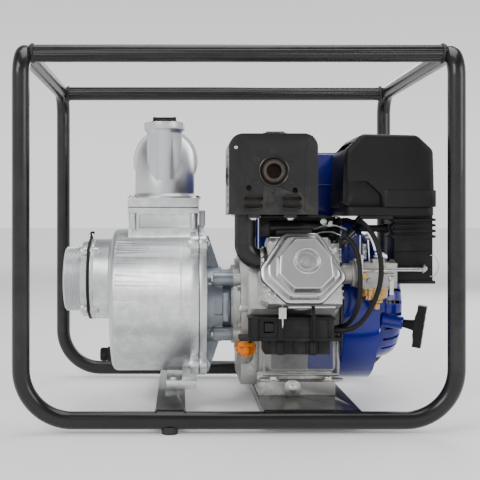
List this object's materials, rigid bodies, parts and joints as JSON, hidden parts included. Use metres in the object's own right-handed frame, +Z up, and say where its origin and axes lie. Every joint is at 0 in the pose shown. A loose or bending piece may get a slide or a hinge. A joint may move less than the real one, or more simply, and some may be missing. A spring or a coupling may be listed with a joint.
{
  "type": "gas engine trash pump",
  "caption": "Tube-framed trash pump: threaded suction and discharge ports on a round casing, driven directly by a horizontal-shaft petrol engine with recoil starter.",
  "frame": {"origin": "on the floor under the centre of the frame", "axes": "+X along the crankshaft from the suction port to the recoil starter, +Y from the valve cover side to the tank side, +Z up"},
  "size_m": [0.69, 0.507, 0.5985],
  "materials": {
    "frame_black": "satin powder coat",
    "foot_rubber": "matt",
    "cast_aluminium": "satin machined casting",
    "adapter_grey": "satin casting",
    "black_rubber": "matt",
    "cast_iron": "as cast",
    "seal_steel": "ground",
    "black_plastic": "fine grain",
    "zinc_bolt": "zinc plated",
    "engine_casting": "die cast",
    "pressed_aluminium": "brushed pressing",
    "machined_aluminium": "machined",
    "heat_black": "semi-gloss heat paint",
    "muffler_steel": "heat darkened",
    "carb_zinc": "die cast",
    "gold_chromate": "yellow chromate",
    "foam": "open foam",
    "blue_paint": "gloss",
    "plug_black": "gloss",
    "rope": "braided",
    "switch_black": "gloss",
    "orange_plastic": "moulded"
  },
  "bodies": {
    "machine": {"front_lower_rail": "frame_black", "rear_lower_rail": "frame_black", "left_side_hoop": "frame_black", "right_side_hoop": "frame_black", "front_top_tube": "frame_black", "rear_top_tube": "frame_black", "pump_crossmember": "frame_black", "engine_crossmember": "frame_black", "rubber_feet": "foot_rubber", "suction_nipple": "cast_aluminium", "suction_gasket": "black_rubber", "pump_casing": "cast_aluminium", "volute_insert": "cast_iron", "shaft_seal": "seal_steel", "casing_gasket": "black_rubber", "casing_cover": "cast_aluminium", "engine_adapter": "adapter_grey", "discharge_gasket": "black_rubber", "discharge_elbow": "cast_aluminium", "pump_bolts": "zinc_bolt", "crankcase": "engine_casting", "side_cover": "engine_casting", "cylinder_barrel": "engine_casting", "cylinder_head": "engine_casting", "valve_cover": "pressed_aluminium", "valve_cover_gasket": "black_rubber", "exhaust_pipe": "heat_black", "muffler_can": "muffler_steel", "muffler_guard": "heat_black", "carburetor": "carb_zinc", "float_bowl": "gold_chromate", "control_bracket": "heat_black", "air_cleaner_base": "black_plastic", "air_filter": "foam", "breather_tube": "black_rubber", "fuel_tank": "blue_paint", "engine_hoses": "black_rubber", "spark_plug": "plug_black", "blower_housing": "blue_paint", "recoil_cover": "blue_paint", "recoil_rope": "rope", "control_box": "black_plastic", "engine_bolts": "zinc_bolt"},
    "crank": {"crankshaft": "seal_steel", "impeller": "cast_iron", "flywheel": "machined_aluminium"},
    "piston": {"piston": "machined_aluminium"},
    "check_valve": {"check_valve_flap": "black_rubber"},
    "priming_plug": {"priming_plug": "black_plastic"},
    "drain_plug": {"drain_plug": "black_plastic"},
    "tank_cap": {"tank_cap": "black_plastic"},
    "dipstick": {"dipstick": "orange_plastic"},
    "air_cleaner_cover": {"air_cleaner_cover": "black_plastic"},
    "choke_lever": {"choke_lever": "zinc_bolt"},
    "fuel_valve_lever": {"fuel_valve_lever": "zinc_bolt"},
    "throttle_lever": {"throttle_lever": "zinc_bolt"},
    "governor_arm": {"governor_arm": "zinc_bolt"},
    "recoil_handle": {"recoil_handle": "black_plastic"},
    "recoil_pulley": {"recoil_pulley": "seal_steel"},
    "engine_switch": {"engine_switch": "switch_black"}
  },
  "joints": [
    {"name": "crank_turn", "type": "hinge", "parent": "machine", "child": "crank", "pos_m": [0, 0, 0.175], "axis": [1, 0, 0], "continuous": true},
    {"name": "piston_stroke", "type": "slide", "parent": "machine", "child": "piston", "axis": [0, 0.9397, -0.342], "range_m": [0, 0.064]},
    {"name": "check_valve_swing", "type": "hinge", "parent": "machine", "child": "check_valve", "pos_m": [-0.2431, 0, 0.272], "axis": [0, -1, 0], "range_deg": [0, 45]},
    {"name": "priming_plug_turn", "type": "hinge", "parent": "machine", "child": "priming_plug", "pos_m": [-0.117, -0.022, 0.49], "axis": [0, 0, 1], "range_deg": [0, 720]},
    {"name": "drain_plug_turn", "type": "hinge", "parent": "machine", "child": "drain_plug", "pos_m": [-0.212, -0.04, 0.09], "axis": [-1, 0, 0], "range_deg": [0, 720]},
    {"name": "tank_cap_turn", "type": "hinge", "parent": "machine", "child": "tank_cap", "pos_m": [0.087, 0.06, 0.46], "axis": [0, 0, 1], "range_deg": [0, 90]},
    {"name": "dipstick_turn", "type": "hinge", "parent": "machine", "child": "dipstick", "pos_m": [0.02, -0.1, 0.102], "axis": [0, -0.8191, 0.5736], "range_deg": [0, 720]},
    {"name": "air_cleaner_lift", "type": "slide", "parent": "machine", "child": "air_cleaner_cover", "axis": [0, 0, 1], "range_m": [0, 0.09]},
    {"name": "choke_swing", "type": "hinge", "parent": "machine", "child": "choke_lever", "pos_m": [0.225, -0.165, 0.25], "axis": [0, 0, 1], "range_deg": [0, 70]},
    {"name": "fuel_valve_swing", "type": "hinge", "parent": "machine", "child": "fuel_valve_lever", "pos_m": [0.246, -0.18, 0.225], "axis": [0, -1, 0], "range_deg": [0, 90]},
    {"name": "throttle_swing", "type": "hinge", "parent": "machine", "child": "throttle_lever", "pos_m": [0.148, -0.05, 0.31], "axis": [0, 0, 1], "range_deg": [0, 20]},
    {"name": "governor_swing", "type": "hinge", "parent": "machine", "child": "governor_arm", "pos_m": [0.168, -0.05, 0.31], "axis": [0, 0, 1], "range_deg": [0, 10]},
    {"name": "recoil_pull", "type": "slide", "parent": "machine", "child": "recoil_handle", "axis": [0.9291, -0.3382, -0.1495], "range_m": [0, 0.5], "stiffness_N_per_m": 30},
    {"name": "recoil_pulley_turn", "type": "hinge", "parent": "machine", "child": "recoil_pulley", "pos_m": [0.275, 0, 0.175], "axis": [1, 0, 0], "range_deg": [0, 640]},
    {"name": "switch_rock", "type": "hinge", "parent": "machine", "child": "engine_switch", "pos_m": [0.052, -0.1745, 0.154], "axis": [1, 0, 0], "range_deg": [0, 15]}
  ],
  "couplings": [
    {"joint": "governor_swing", "follows": "throttle_swing", "ratio": 0.5},
    {"joint": "recoil_pulley_turn", "follows": "recoil_pull", "rad_per_m": 22.222}
  ]
}
